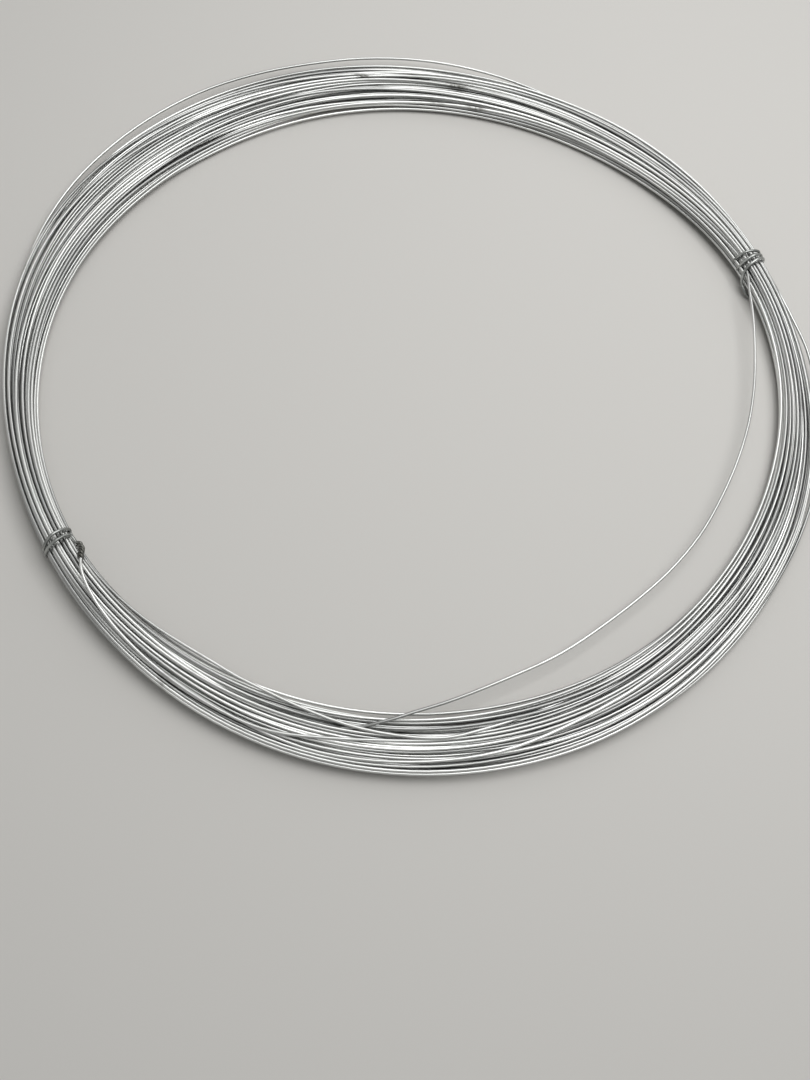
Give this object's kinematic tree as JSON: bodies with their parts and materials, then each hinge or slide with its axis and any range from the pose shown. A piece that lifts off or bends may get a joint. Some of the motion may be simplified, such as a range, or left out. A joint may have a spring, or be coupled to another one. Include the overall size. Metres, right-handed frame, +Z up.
{
  "type": "wire coil",
  "caption": "Coil of galvanized steel wire lying flat, bound with tie wires, with loose turns standing off the bundle.",
  "frame": {"origin": "middle of the ring at floor level", "axes": "+Z up along the coil's own axis; the tie with the most wraps lies 34.5 degrees from +X towards +Y, the other tie 223 degrees"},
  "size_m": [0.6044, 0.6037, 0.0242],
  "materials": {
    "galvanized_wire": "bright drawn zinc",
    "tie_wire": "dull annealed wire"
  },
  "bodies": {
    "root": {"wire_coil": "galvanized_wire", "right_tie": "tie_wire", "left_tie": "tie_wire"}
  },
  "joints": []
}
